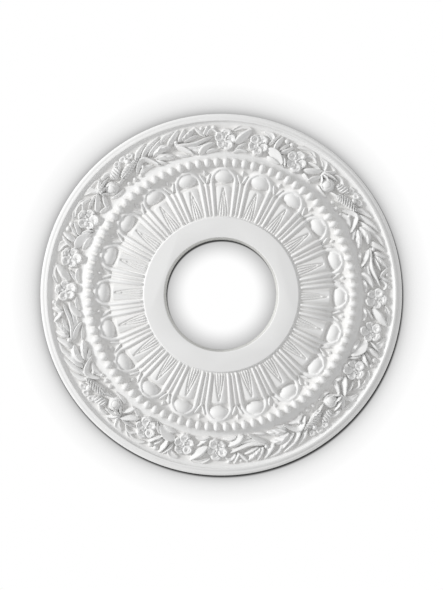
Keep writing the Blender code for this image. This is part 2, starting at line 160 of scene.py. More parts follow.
crest = (spread(RIDGE_END, CREST_END, CREST_ROWS),
         spread(BEAD_RIDGE - 2 * RIDGE_ROUND, CREST_LOW, CREST_ROWS))
ridge_fall = (spread(CREST_END, RIDGE_FOOT_AT, CREST_ROWS),
              spread(CREST_LOW, RIDGE_FOOT, CREST_ROWS))
ridge_foot = (spread(RIDGE_FOOT_AT, FRIEZE_INNER, RIDGE_FOOT_ROWS),
              spread(RIDGE_FOOT, FRIEZE_INNER_TOP, RIDGE_FOOT_ROWS))
frieze_ground = (frieze_rows, cove(frieze_share))
rim_cove = round_over(FRIEZE_OUTER, FRIEZE_OUTER_TOP, RIM_FLAT_START, RIM_TOP, RIM_COVE_ROWS)
rim_flat = ([RIM_FLAT_START, RIM_FLAT_END], [RIM_TOP, RIM_TOP])
rim_step = ([RIM_FLAT_END + RIM_STEP_ROUND, RIM_STEP_END], [RIM_TOP - RIM_STEP_DROP, RIM_STEP])
rim_round = round_over(RIM_STEP_END + RIM_STEP_ROUND, RIM_STEP, OUTER, EDGE_TOP, RIM_ROUND_ROWS,
                       RIM_FULLNESS)
outer_wall = ([OUTER, OUTER, OUTER - BACK_ROUND], [EDGE_TOP, BACK + BACK_ROUND, BACK])
flat_back = ([OUTER - BACK_MARGIN, HOLE + BACK_MARGIN], [BACK, BACK])
profile = [hole_foot, hole_wall, hole_edge, collar, collar_edge, bodies, body_ends, basin,
           ridge_rise, ridge_top, crest, ridge_fall, ridge_foot, frieze_ground, rim_cove,
           rim_flat, rim_step, rim_round, outer_wall, flat_back]

row_radii = np.concatenate([np.asarray(radii, float) for radii, _ in profile])
row_heights = np.concatenate([np.asarray(heights, float) for _, heights in profile])
on_face = row_heights > LOWEST_CARVED
ground = np.repeat(row_heights[:, None], AROUND, axis=1)
relief = np.zeros_like(ground)


def rows_between(start, end):
    """The rows of the carved face from one radius to another."""
    return np.nonzero((row_radii >= start - 1e-9) & (row_radii <= end + 1e-9) & on_face)[0]


# The tongues: twenty in the field, each a swelling body in a rounded border that arches over
# a fat bulb at its outer end, with two nested V grooves cut in the body. A thin stem parts
# each tongue from the next, opens in two arms and holds a dart bud. All cast with the ground.
TONGUE_COUNT = 20
TONGUE_PITCH = 360 / TONGUE_COUNT
FIRST_TONGUE = 1.2
RELIEF_FADE = 3.0 * MM

# Values times MM are lengths; the others are degrees across a tongue, shares or powers
ARCH_TOP = FIELD_END + 0.9 * MM
ARCH_RISE = 14.4 * MM
ARCH_SPRING = ARCH_TOP - ARCH_RISE
ARCH_SWELL = 0.35
BORDER_AT = 6.1
BORDER_WIDE = 1.15
BORDER_PROUD = 2.9 * MM
CHANNEL_AT = 7.6
CHANNEL_WIDE = 0.5
CHANNEL_DEEP = 0.7 * MM
CHANNEL_RISE = 0.35

BODY_WIDE = 4.35
BODY_SQUARE = 2.6
BODY_PROUD = 2.3 * MM
BODY_END = FIELD_END - 15.7 * MM
BODY_END_ROUND = 0.11 * MM
BODY_END_FADE = 1.6 * MM
GROOVE_AT = 4.65
GROOVE_WIDE = 0.42
GROOVE_DEEP = 1.4 * MM

OUTER_V_WIDE = 2.9
OUTER_V_LONG = 33.4 * MM
INNER_V_WIDE = 1.05
INNER_V_LONG = 26.0 * MM
V_DEEP = 1.7 * MM
V_HALF_WIDTH = 0.85 * MM
V_BOW = 1.35
V_CLOSING = 1.2 * MM

BULB_AT = FIELD_END - 6.9 * MM
BULB_HALF_ANGLE = 4.7
BULB_HALF_LENGTH = 7.3 * MM
BULB_PROUD = 5.8 * MM
BULB_BLEND = 3.2 * MM

STEM_PROUD = 2.2 * MM
STEM_WIDE = 0.72
STEM_END = ARCH_SPRING + 1.0 * MM
ARM_START = STEM_END - 1.5 * MM
ARM_LONG = 11.6 * MM
ARM_SPREAD = 6.2 * MM
ARM_LEAST_WIDE = 0.7 * MM
ARM_SWELL = 1.1 * MM
ARM_PROUD = 3.4 * MM
DART_AT = FIELD_END - 1.4 * MM
DART_HALF_WIDTH = 2.4 * MM
DART_HALF_LENGTH = 3.4 * MM
DART_PROUD = 3.6 * MM


def bump(distance, width):
    """A soft ridge: 1 on its line, and about a third of that at its width."""
    return np.exp(-(distance / width) ** 2)


def v_groove(across, wide, long, radius):
    """One V cut, open at the collar and closed to a point further out."""
    run = np.clip((radius - COLLAR_EDGE_RADIUS) / long, 0, 1)
    arm = wide * (1 - run ** V_BOW) * math.radians(1) * radius
    closed = np.clip((1 - run) * long / V_CLOSING, 0, 1)
    return V_DEEP * bump(across - arm, V_HALF_WIDTH) * closed


def tongue_body(offset, radius):
    """The swelling body with its V cuts, the border round it and the grooves beside it."""
    side = np.abs(offset)
    rise = np.clip((radius - ARCH_SPRING) / ARCH_RISE, 0, None)
    border = np.hypot(side / BORDER_AT, rise)
    swell = 1 + ARCH_SWELL * np.clip(rise, 0, 1)
    carved = BORDER_PROUD * swell * bump((border - 1) * BORDER_AT, BORDER_WIDE)
    body_end = BODY_END - BODY_END_ROUND * offset ** 2
    body = BODY_PROUD * np.clip(1 - (side / BODY_WIDE) ** BODY_SQUARE, 0, 1) ** 0.8
    across = side * math.radians(1) * radius
    body = body - v_groove(across, OUTER_V_WIDE, OUTER_V_LONG, radius)
    body = body - v_groove(across, INNER_V_WIDE, INNER_V_LONG, radius)
    carved += body * np.clip((body_end - radius) / BODY_END_FADE, 0, 1)
    narrowing = np.sqrt(np.clip(1 - rise ** 2, 0.0, 1))
    carved -= GROOVE_DEEP * bump(side - GROOVE_AT * narrowing, GROOVE_WIDE) * (rise < 0.97)
    carved -= CHANNEL_DEEP * bump(side - CHANNEL_AT, CHANNEL_WIDE) * (rise < CHANNEL_RISE)
    return carved


def with_bulb(carved, offset, radius):
    """The carving with the bulb run into it by a soft hollow corner."""
    bulb = 1 - (np.abs(offset) / BULB_HALF_ANGLE) ** 2 - ((radius - BULB_AT) / BULB_HALF_LENGTH) ** 2
    bulb = BULB_PROUD * np.clip(bulb, 0, 1) ** 0.6
    joined = (carved + bulb + np.sqrt((carved - bulb) ** 2 + BULB_BLEND ** 2)) / 2
    joined = np.maximum(joined - BULB_BLEND / 4, np.maximum(carved, bulb))
    return np.where(bulb > 0, joined, carved)


def stem_and_dart(offset, radius):
    """The stem between two tongues, its two arms and the bud over them."""
    aside = TONGUE_PITCH / 2 - np.abs(offset)
    from_stem = aside * math.radians(1) * radius
    stem = STEM_PROUD * bump(aside, STEM_WIDE) * (radius < STEM_END)
    arm_share = (radius - ARM_START) / ARM_LONG
    arm_place = ARM_SPREAD * np.clip(arm_share, 0, 1) ** 0.9
    arm_wide = ARM_LEAST_WIDE + ARM_SWELL * np.sin(math.pi * np.clip(arm_share, 0, 1))
    arm = ARM_PROUD * bump(from_stem - arm_place, arm_wide)
    arm = arm * (arm_share > 0) * np.clip((1 - arm_share) * 6, 0, 1)
    dart = 1 - np.abs(from_stem) / DART_HALF_WIDTH - np.abs(radius - DART_AT) / DART_HALF_LENGTH
    dart = DART_PROUD * np.clip(dart, 0, 1) ** 0.7
    return np.maximum(np.maximum(stem, arm), dart)


tongue_offset = (angles - FIRST_TONGUE + TONGUE_PITCH / 2) % TONGUE_PITCH - TONGUE_PITCH / 2
rows = rows_between(COLLAR_FOOT, RIDGE_START)
radius = row_radii[rows][:, None]
tongues = with_bulb(tongue_body(tongue_offset, radius), tongue_offset, radius)
tongues = np.maximum(tongues, stem_and_dart(tongue_offset, radius))
from_edges = np.minimum(RIDGE_START - radius, radius - COLLAR_FOOT)
relief[rows] += tongues * np.clip(from_edges / RELIEF_FADE, 0, 1)


# The bead ring: ninety egg-shaped beads that point to the hole, cast in a row along the top of
# a steep ridge between field and frieze, with a deep gap between each and the next.
BEAD_COUNT = 90
BEAD_PITCH = 360 / BEAD_COUNT
BEAD_HALF_WIDTH = 3.6 * MM
BEAD_HALF_LENGTH = 4.9 * MM
BEAD_PROUD = 4.6 * MM
BEAD_FOOT = BEAD_RIDGE - 0.4 * MM
bead_offset = (angles % BEAD_PITCH - BEAD_PITCH / 2) * math.radians(1) * BEAD_CENTRE
rows = rows_between(BEAD_CENTRE - BEAD_HALF_LENGTH, BEAD_CENTRE + BEAD_HALF_LENGTH)
bead_along = (row_radii[rows][:, None] - BEAD_CENTRE) / BEAD_HALF_LENGTH
bead_reach = np.hypot(bead_offset / BEAD_HALF_WIDTH, bead_along)
bead_top = BEAD_FOOT + BEAD_PROUD * np.sqrt(np.clip(1 - bead_reach ** 2, 0, None))
with_beads = np.maximum(relief[rows], bead_top - ground[rows])
relief[rows] = np.where(bead_reach < 1, with_beads, relief[rows])


# The frieze: flowers, buds, a carnation and many leaves, cast with the cove. Its drawing is
# on a strip 90 degrees long and 30 units high, which repeats four times round the rose.
STRIP_LENGTH = 90
STRIP_UNITS = 30
UNIT = (FRIEZE_OUTER - FRIEZE_INNER) / STRIP_UNITS
UNITS_PER_DEGREE = math.radians(1) * (FRIEZE_INNER + FRIEZE_OUTER) / 2 / UNIT
CARVING_PROUD = 7.4 * MM
strip_columns = AROUND * STRIP_LENGTH // 360
along, up = np.meshgrid(angles[:strip_columns] * UNITS_PER_DEGREE, frieze_share * STRIP_UNITS)
strip_wrap = STRIP_LENGTH * UNITS_PER_DEGREE
carving = np.zeros_like(along)
ROUTE_POINTS = 24


def smooth_route(route):
    """Evenly numbered points on a smooth curve through the route's points."""
    points = np.array([(angle * UNITS_PER_DEGREE, height) for angle, height in route])
    last = len(points) - 1
    places = np.minimum(np.linspace(0, last, ROUTE_POINTS), last - 1e-9)
    leg = places.astype(int)
    part = (places - leg)[:, None]
    before = points[np.maximum(leg - 1, 0)]
    start = points[leg]
    end = points[leg + 1]
    after = points[np.minimum(leg + 2, last)]
    leave = (end - before) / 2
    arrive = (after - start) / 2
    return (start * (2 * part ** 3 - 3 * part ** 2 + 1) + leave * (part ** 3 - 2 * part ** 2 + part)
            + end * (3 * part ** 2 - 2 * part ** 3) + arrive * (part ** 3 - part ** 2))


def from_place(place):
    """Distance along the strip from one place, the short way round where the strip repeats."""
    return (along - place + strip_wrap / 2) % strip_wrap - strip_wrap / 2


def nearest_on(line):
    """For every point of the strip: the share along the line, and the distance to its left."""
    best = np.full(along.shape, 1e9)
    share = np.zeros(along.shape)
    side = np.zeros(along.shape)
    middle = line[:, 0].mean()
    local = from_place(middle) + middle
    for step in range(len(line) - 1):
        run = line[step + 1] - line[step]
        length = math.hypot(*run)
        from_x = local - line[step, 0]
        from_y = up - line[step, 1]
        part = np.clip((from_x * run[0] + from_y * run[1]) / length ** 2, 0, 1)
        across_x = from_x - part * run[0]
        across_y = from_y - part * run[1]
        reach = np.hypot(across_x, across_y)
        nearer = reach < best
        best = np.where(nearer, reach, best)
        share = np.where(nearer, (step + part) / (len(line) - 1), share)
        side = np.where(nearer, np.sign(run[0] * across_y - run[1] * across_x) * reach, side)
    return share, side


def add_carving(shape):
    """Lays a shape into the strip, where it stands higher than what is there."""
    np.maximum(carving, shape, out=carving)


def leaf(route, half_width, proud=1.0, lean=0.5, hollow=0.0, veins=0):
    """A blade pointed at both ends, with its ridge off its middle by lean; hollow sinks it."""
    share, side = nearest_on(smooth_route(route))
    width = half_width * np.sin(math.pi * np.clip(share, 0.004, 0.996) ** 0.85) ** 0.7
    across = side / width
    to_ridge = np.where(across > lean, (across - lean) / (1 - lean), (lean - across) / (1 + lean))
    shape = 0.30 + 0.70 * (1 - np.clip(to_ridge, 0, 1) ** 1.2)
    if hollow:
        rolled = bump(np.abs(across) - 0.74, 0.24) + 0.45 * bump(across - lean, 0.16)
        shape = (1 - hollow) * shape + hollow * (0.38 + 0.62 * np.clip(rolled, 0, 1))
    if veins:
        stripes = np.cos(2 * math.pi * (veins * (share - 0.35 * np.abs(across))))
        shape = shape + 0.08 * stripes
    crest = 0.62 + 0.38 * np.sin(math.pi * share)
    edge = np.clip((1 - np.abs(across)) * half_width / 0.5, 0, 1) ** 0.6
    add_carving(proud * crest * shape * edge)


def petal(angle, height, radius, proud, facing):
    """A round petal laid over what is there: a rolled rim, a shallow cup and a small curl in it."""
    x = from_place(angle * UNITS_PER_DEGREE)
    y = up - height
    turn = np.arctan2(x, y) - math.radians(facing)
    turn = np.mod(turn + math.pi, 2 * math.pi) - math.pi
    reach = np.hypot(x, y) / (radius * (1 - 0.14 * bump(turn, 0.30)))
    curl = np.hypot(reach * np.sin(turn) - 0.10, reach * np.cos(turn) + 0.04)
    rim = bump(reach - 0.76, 0.19) * (0.70 + 0.30 * np.cos(turn))
    middle = 0.24 * bump(curl, 0.30) - 0.18 * bump(curl - 0.42, 0.12) * (np.cos(turn - 0.8) > -0.5)
    tilt = 0.80 + 0.20 * reach * np.cos(turn)
    shape = np.clip(1 - reach ** 6, 0, 1) ** 0.5 * (0.66 + 0.34 * rim) * tilt - middle * (reach < 1)
    over = reach < 0.97
    carving[over] = (proud * np.clip(shape, 0.1, 1))[over]


PETAL_SIZES = (1.04, 0.90, 1.08, 0.86, 0.98)


def flower(angle, height, radius, petal_radius, first_petal, proud):
    """Five petals of unlike size, each over the one before, about a small low middle."""
    for number, size in enumerate(PETAL_SIZES):
        facing = first_petal + number * 360 / len(PETAL_SIZES)
        turn = math.radians(facing)
        petal_angle = angle + math.sin(turn) * radius / UNITS_PER_DEGREE
        petal_height = height + math.cos(turn) * radius
        petal(petal_angle, petal_height, petal_radius * size, proud * size, facing)
    berry(angle, height, 1.9, proud * 0.62)


def berry(angle, height, radius, proud):
    """Half a ball."""
    x = from_place(angle * UNITS_PER_DEGREE)
    reach = np.hypot(x, up - height) / radius
    add_carving(proud * np.sqrt(np.clip(1 - reach ** 2, 0, 1)))


def rosebud(angle, height, radius, proud):
    """A round bud whose petals wrap it in overlapping crescents."""
    x = from_place(angle * UNITS_PER_DEGREE)
    y = up - height
    reach = np.hypot(x, y) / radius
    shape = np.sqrt(np.clip(1 - reach ** 2, 0, 1))
    for lean, size in ((0.0, 0.86), (2.1, 0.70), (4.2, 0.56)):
        centre_x = 0.20 * radius * math.sin(lean)
        centre_y = 0.20 * radius * math.cos(lean)
        ring = np.hypot(x - centre_x, y - centre_y) / radius
        shape = shape - 0.11 * bump(ring - size, 0.07) * (reach < 1)
    add_carving(proud * shape)


def carnation(route, half_width, proud, lines, slant):
    """A swelling flower head with a row of short slanted ribs across it, like a comb."""
    share, side = nearest_on(smooth_route(route))
    width = half_width * np.sin(math.pi * np.clip(share, 0.004, 0.996) ** 0.8) ** 0.6
    across = side / width
    inside = np.clip(1 - np.abs(across) ** 3, 0, 1)
    ribs = np.cos(2 * math.pi * (lines * share + slant * across))
    shape = inside ** 0.5 * (0.80 + 0.20 * ribs)
    add_carving(proud * shape * (inside > 0))


# Places are given as degrees along the strip and units up it, from the beads to the rim
flower(1.5, 14.3, 6.2, 5.6, 8, 0.95)
flower(13.9, 13.6, 6.2, 5.5, 30, 1.0)
flower(29.4, 12.0, 6.4, 5.7, 10, 1.0)

# Blades between the first two flowers
leaf([(3.9, 23.4), (7.4, 28.6), (11.0, 27.2)], 2.4, 0.8, hollow=0.7)
leaf([(5.2, 11.4), (7.9, 19.0), (10.6, 27.2)], 4.4, 1.1)
leaf([(4.6, 1.6), (7.6, 4.6), (10.6, 3.8)], 2.2, 0.7)
leaf([(5.4, 3.6), (7.2, 8.2), (9.4, 13.0)], 2.1, 0.7)

# Blades, budding sheaf and broad leaf between the second flower and the third
leaf([(14.8, 28.6), (17.6, 26.2), (19.0, 18.6)], 3.4, 0.75, lean=0.7, hollow=0.6)
leaf([(17.8, 15.8), (18.8, 22.0), (20.4, 29.2)], 2.0, 0.85)
leaf([(20.2, 13.6), (20.7, 21.0), (21.7, 29.4)], 3.0, 1.15)
berry(23.3, 26.0, 2.6, 1.0)
berry(25.3, 25.2, 2.3, 0.95)
leaf([(22.0, 14.4), (23.2, 19.4), (24.6, 25.2)], 2.0, 0.7)
leaf([(22.6, 12.6), (24.8, 17.4), (26.4, 23.8)], 2.7, 1.05)
leaf([(17.6, 11.6), (21.4, 9.6), (25.2, 2.4)], 5.0, 1.05, lean=0.76)
leaf([(18.2, 4.6), (20.8, 3.0), (24.0, 1.6)], 2.8, 0.7)
leaf([(23.4, 11.8), (25.2, 6.6), (26.6, 1.4)], 2.4, 0.9)

# The arching blade over the third flower, and the blades after it
leaf([(27.2, 25.0), (31.6, 29.2), (36.0, 21.6)], 2.6, 0.8, hollow=0.6)
leaf([(31.4, 20.8), (33.8, 24.6), (36.4, 20.4)], 1.8, 0.7)
leaf([(33.4, 8.0), (36.4, 12.4), (39.6, 19.6)], 3.6, 1.1)
leaf([(33.2, 17.0), (35.8, 18.6), (38.8, 18.8)], 2.0, 0.85)
leaf([(33.8, 5.8), (35.8, 3.6), (38.6, 1.6)], 2.3, 0.7)
leaf([(36.0, 29.4), (38.4, 26.8), (39.6, 19.6)], 3.4, 0.85, lean=0.6, hollow=0.5)
leaf([(38.4, 27.6), (41.0, 28.8), (43.4, 26.2)], 2.0, 0.6)
leaf([(37.2, 1.2), (38.6, 7.6), (40.6, 14.4)], 2.8, 0.9)

# Rosebud, with the sepals that spread from its foot
rosebud(44.2, 11.6, 7.4, 1.25)
leaf([(39.8, 15.4), (41.4, 21.6), (43.6, 27.2)], 2.6, 1.0)
leaf([(40.0, 15.2), (40.2, 20.2), (39.8, 25.4)], 1.6, 0.85)
leaf([(40.0, 16.4), (42.4, 20.0), (45.8, 21.6)], 2.2, 1.2)
leaf([(39.8, 15.8), (42.0, 16.2), (44.2, 14.6)], 1.7, 1.35)
leaf([(39.8, 15.4), (41.2, 12.0), (42.2, 8.2)], 1.6, 1.15)
leaf([(43.6, 24.6), (46.4, 25.2), (49.0, 20.6)], 2.4, 0.85)
leaf([(41.2, 4.6), (43.8, 2.4), (47.4, 2.6)], 2.0, 0.6)

# Carnation: a comb of ribs, its lumpy petals above, and the berries under it
carnation([(49.4, 11.2), (53.6, 15.2), (58.4, 18.0)], 4.6, 1.2, 10, 1.0)
carnation([(46.6, 17.8), (49.2, 20.8), (52.0, 25.4)], 4.6, 1.0, 6, -0.8)
leaf([(46.6, 8.4), (50.4, 11.2), (53.6, 12.2)], 1.7, 1.15)
petal(51.4, 26.0, 3.6, 0.9, 340)
petal(54.0, 26.6, 3.9, 1.0, 0)
petal(56.6, 25.2, 3.5, 0.9, 20)
berry(54.8, 21.6, 3.0, 1.1)
berry(50.4, 3.4, 2.2, 0.55)
berry(53.2, 2.8, 2.4, 0.6)
berry(56.0, 3.0, 2.0, 0.5)

# Curled leaf, then the blades that lean over the tulip
leaf([(55.2, 6.6), (60.0, 15.0), (64.8, 1.6)], 3.2, 1.0)
leaf([(56.0, 3.6), (59.0, 6.4), (62.4, 4.6)], 3.0, 0.6)
berry(58.6, 8.8, 2.1, 0.95)
leaf([(57.6, 17.6), (59.4, 23.0), (63.2, 28.6)], 2.8, 0.85)
leaf([(59.6, 16.4), (63.4, 23.0), (68.4, 29.0)], 3.0, 1.0)
leaf([(62.2, 15.4), (65.8, 20.0), (68.8, 25.8)], 3.2, 1.0)
leaf([(67.8, 21.0), (70.2, 26.6), (73.8, 28.8)], 2.4, 0.8)
leaf([(70.4, 17.0), (72.6, 22.0), (75.4, 29.4)], 3.4, 1.0)

# Tulip of two lobes, with a narrow leaf under it
leaf([(63.8, 13.0), (67.6, 16.4), (71.2, 14.6)], 4.6, 1.2, lean=0.1, veins=3)
leaf([(64.4, 10.4), (68.2, 7.4), (71.6, 4.2)], 4.0, 1.1, lean=0.1, veins=3)
leaf([(64.0, 9.0), (65.4, 4.6), (67.8, 1.0)], 2.2, 0.7)

# Five-lobed leaf
leaf([(74.6, 17.0), (76.0, 22.4), (77.6, 29.0)], 3.0, 1.05)
leaf([(75.6, 17.2), (78.2, 21.8), (80.8, 27.4)], 3.2, 1.1, veins=4)
leaf([(76.2, 15.8), (79.2, 18.2), (81.8, 20.6)], 2.2, 0.95)
leaf([(72.4, 15.6), (79.4, 11.6), (87.2, 18.2)], 3.0, 1.1, lean=0.3)
leaf([(76.6, 9.6), (81.0, 7.4), (86.8, 12.4)], 2.6, 0.75)
leaf([(73.0, 13.4), (75.8, 8.8), (79.0, 1.6)], 3.0, 1.0)
leaf([(78.2, 5.4), (80.6, 4.4), (83.8, 5.4)], 1.6, 0.6)
leaf([(72.2, 5.0), (74.4, 3.0), (77.4, 1.2)], 2.0, 0.6)
berry(73.4, 17.6, 2.4, 1.0)
leaf([(81.2, 0.4), (83.4, 6.2), (87.6, 11.2)], 3.8, 1.0)
leaf([(83.8, 1.6), (86.4, 3.8), (89.2, 3.6)], 2.3, 0.7)

# Twig of small leaves, with a ball and a curl
leaf([(84.2, 18.2), (82.4, 23.4), (80.6, 29.4)], 2.4, 0.85)
leaf([(83.6, 18.8), (84.8, 24.0), (85.6, 29.2)], 2.2, 0.85)
leaf([(84.6, 18.4), (86.6, 24.6), (89.0, 20.8)], 1.9, 0.8)
berry(83.2, 26.6, 1.8, 0.8)
berry(87.4, 27.0, 2.0, 0.7)

# The relief sinks at both edges of the strip, more towards the rim, so that it shades neither
EDGE_SOFT = 1.2
RIM_SIDE_LEAST = 0.35
RIM_SIDE_RISE = 10
BEAD_SIDE_LEAST = 0.75
BEAD_SIDE_RISE = 4
edge_fade = np.clip(np.minimum(up, STRIP_UNITS - up) / EDGE_SOFT, 0, 1)
rim_side = RIM_SIDE_LEAST + (1 - RIM_SIDE_LEAST) * (STRIP_UNITS - up) / RIM_SIDE_RISE
bead_side = BEAD_SIDE_LEAST + (1 - BEAD_SIDE_LEAST) * up / BEAD_SIDE_RISE
edge_fade *= np.clip(rim_side, 0, 1) * np.clip(bead_side, 0, 1)
rows = rows_between(FRIEZE_INNER, frieze_rows[-1])
relief[rows] += CARVING_PROUD * np.tile(carving * edge_fade, (1, 360 // STRIP_LENGTH))


# The moulding itself: ground and carving as one closed skin of light polyurethane, cast in
# one mould, primed matt white, and glued to the ceiling by its flat back. The back and the
# hole's wall are left as unprimed foam, whose darker tone on the hole's wall is partly
# painted shade.
GROOVES_WIDE = 5.8 * MM
THIN_RATIO = 0.355
THIN_WEIGHT = 5.0
SHARP_ANGLE = 60
PAINTED_SHADE_DEPTH = 2.2 * MM
CARVED_LEAST = 0.5 * MM
CLOSE = 0.1 * MM

heights = np.minimum(ground + relief, COLLAR_TOP)
turns = np.radians(angles)
xs = row_radii[:, None] * np.sin(turns)
ys = row_radii[:, None] * np.cos(turns)
row_count = len(row_radii)
corners = np.stack([xs, ys, heights], axis=2).reshape(-1, 3)
row_ids, column_ids = np.meshgrid(np.arange(row_count), np.arange(AROUND), indexing="ij")
row_starts = row_ids * AROUND
next_row_starts = (row_ids + 1) % row_count * AROUND
next_columns = (column_ids + 1) % AROUND
faces = np.stack([row_starts + column_ids, row_starts + next_columns,
                  next_row_starts + next_columns, next_row_starts + column_ids], axis=2)
faces = faces.reshape(-1, 4)
mesh = bpy.data.meshes.new("rose_moulding")
mesh.vertices.add(len(corners))
mesh.vertices.foreach_set("co", corners.ravel())
mesh.loops.add(faces.size)
mesh.loops.foreach_set("vertex_index", faces.ravel())
mesh.polygons.add(len(faces))
mesh.polygons.foreach_set("loop_start", np.arange(0, faces.size, 4))
mesh.update()
mesh.validate()
mesh.shade_smooth()
mesh.set_sharp_from_angle(angle=math.radians(SHARP_ANGLE))
rose = bpy.data.objects.new("rose_moulding", mesh)
bpy.context.scene.collection.objects.link(rose)

# The skin is thinned everywhere but round the V grooves, which need all their faces
plain = rose.vertex_groups.new(name="thin_here")
in_bodies = (row_radii > COLLAR_EDGE_RADIUS) & (row_radii < BODY_FOOT_AT) & on_face
across_body = np.abs(tongue_offset) * math.radians(1) * row_radii[:, None]
grooved = in_bodies[:, None] & (across_body < GROOVES_WIDE)
plain.add(np.nonzero(~grooved.ravel())[0].tolist(), 1.0, "REPLACE")
thin = rose.modifiers.new("thin_out", "DECIMATE")
thin.vertex_group = "thin_here"
thin.vertex_group_factor = THIN_WEIGHT
thin.ratio = THIN_RATIO

# Painted shade: where the carved face sinks below its ground its colour darkens, as shade in the
# recesses
hollow = np.clip((ground + PAINTED_SHADE_DEPTH - heights) / PAINTED_SHADE_DEPTH, 0, 1)
hollow *= (np.ptp(relief, axis=1) > CARVED_LEAST)[:, None]
shade = mesh.attributes.new("hollow", "FLOAT", "POINT")
shade.data.foreach_set("value", hollow.ravel().astype(np.float32))

# The grain of moulded foam: fine pores, and a slow drift of the tone
grain = bpy.data.node_groups.new("moulded_grain", "ShaderNodeTree")
grain.interface.new_socket("Fine", in_out="OUTPUT", socket_type="NodeSocketFloat")
grain.interface.new_socket("Drift", in_out="OUTPUT", socket_type="NodeSocketFloat")
group_out = grain.nodes.new("NodeGroupOutput")
place = grain.nodes.new("ShaderNodeTexCoord")
fine = grain.nodes.new("ShaderNodeTexNoise")
fine.inputs["Scale"].default_value = 900
fine.inputs["Detail"].default_value = 3
fine.inputs["Roughness"].default_value = 0.6
drift = grain.nodes.new("ShaderNodeTexNoise")
drift.inputs["Scale"].default_value = 26
drift.inputs["Detail"].default_value = 4
grain.links.new(place.outputs["Object"], fine.inputs["Vector"])
grain.links.new(place.outputs["Object"], drift.inputs["Vector"])
grain.links.new(fine.outputs["Fac"], group_out.inputs["Fine"])
grain.links.new(drift.outputs["Fac"], group_out.inputs["Drift"])


def ranged(tree, source, from_low, from_high, to_low, to_high):
    """A node that turns one range of values into another, and stops at both ends."""
    node = tree.nodes.new("ShaderNodeMapRange")
    node.inputs["From Min"].default_value = from_low
    node.inputs["From Max"].default_value = from_high
    node.inputs["To Min"].default_value = to_low
    node.inputs["To Max"].default_value = to_high
    tree.links.new(source, node.inputs["Value"])
    return node.outputs["Result"]


def foam_finish(name, light_tone, dark_tone, painted_shade_tone, roughness, grain_depth):
    """A matt face that drifts between two whites, with a third as painted shade in recesses, and a
    grain.
    """
    made = bpy.data.materials.new(name)
    made.use_nodes = True
    tree = made.node_tree
    nodes = tree.nodes
    links = tree.links
    shader = nodes["Principled BSDF"]
    shader.inputs["Specular IOR Level"].default_value = 0.35
    texture = nodes.new("ShaderNodeGroup")
    texture.node_tree = grain
    tone = nodes.new("ShaderNodeMix")
    tone.data_type = "RGBA"
    tone.inputs["A"].default_value = dark_tone
    tone.inputs["B"].default_value = light_tone
    links.new(ranged(tree, texture.outputs["Drift"], 0.3, 0.7, 0, 1), tone.inputs["Factor"])
    # Painted shade: the hollow attribute mixes in the third, darker tone in the carving's recesses
    painted_shade_mask = nodes.new("ShaderNodeAttribute")
    painted_shade_mask.attribute_name = "hollow"
    painted_shade_mix = nodes.new("ShaderNodeMix")
    painted_shade_mix.data_type = "RGBA"
    painted_shade_mix.inputs["B"].default_value = painted_shade_tone
    links.new(painted_shade_mask.outputs["Fac"], painted_shade_mix.inputs["Factor"])
    links.new(tone.outputs["Result"], painted_shade_mix.inputs["A"])
    links.new(painted_shade_mix.outputs["Result"], shader.inputs["Base Color"])
    rough = ranged(tree, texture.outputs["Fine"], 0.3, 0.7, roughness - 0.05, roughness + 0.07)
    links.new(rough, shader.inputs["Roughness"])
    bumps = nodes.new("ShaderNodeBump")
    bumps.inputs["Strength"].default_value = 0.35
    bumps.inputs["Distance"].default_value = grain_depth
    links.new(texture.outputs["Fine"], bumps.inputs["Height"])
    links.new(bumps.outputs["Normal"], shader.inputs["Normal"])
    return made


# Each finish's third colour is its painted shade for the carving's recesses
primed = foam_finish("primed_face", (0.815, 0.815, 0.812, 1), (0.795, 0.794, 0.790, 1),
                     (0.770, 0.765, 0.755, 1), 0.58, 0.12 * MM)
# Unprimed foam, a little darker than the face; on the hole's wall that darker tone also stands in
# for shade
bare_foam_and_wall_shade = foam_finish("raw_foam", (0.62, 0.62, 0.60, 1), (0.55, 0.549, 0.53, 1),
                   (0.55, 0.549, 0.53, 1), 0.85, 0.4 * MM)
mesh.materials.append(primed)
mesh.materials.append(bare_foam_and_wall_shade)
row_is_bare = (row_radii < HOLE + CLOSE) & (row_heights < COLLAR_TOP - EDGE_ROUND)
row_is_bare |= row_heights < BACK + CLOSE
mesh.polygons.foreach_set("material_index", np.repeat(row_is_bare, AROUND).astype(np.int32))

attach(rose, "root")
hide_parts("ceiling_rose")


# The floor: a plain white sheet that the rose lies on. It shines by its own emission, not
# by the lamps, with a painted soft shade near the rose, and a thin sharp painted shadow under
# its lower right edge and inside the upper left of its hole, where a lamp at the upper left
# would cast them.
FLOOR_HALF = 3
FLOOR_TOP = BACK - 0.3 * MM
SHADE_CHANGE = 20 * MM
HOLE_SHADE_REACH = 0.024
OUTER_SHADE_REACH = 0.035
HOLE_SHADE_DEPTH = 0.95
OUTER_SHADE_DEPTH = 1.5
SHADOW_SHIFT = 2.2 * MM
SHADOW_AZIMUTH = math.radians(153)
SHADOW_EDGE = OUTER + 0.6 * MM
SHADOW_DARK = SHADOW_EDGE - 0.2 * MM
SHADOW_GONE = SHADOW_EDGE + 1.8 * MM
HOLE_SHADOW_EDGE = HOLE_BACK + 0.3 * MM
HOLE_SHADOW_GONE = HOLE_SHADOW_EDGE - 1.0 * MM
HOLE_SHADOW_DARK = HOLE_SHADOW_EDGE + 0.2 * MM
HOLE_SHADOW_LIMIT = OUTER - 40 * MM
SHADOW_LIGHT = 0.10

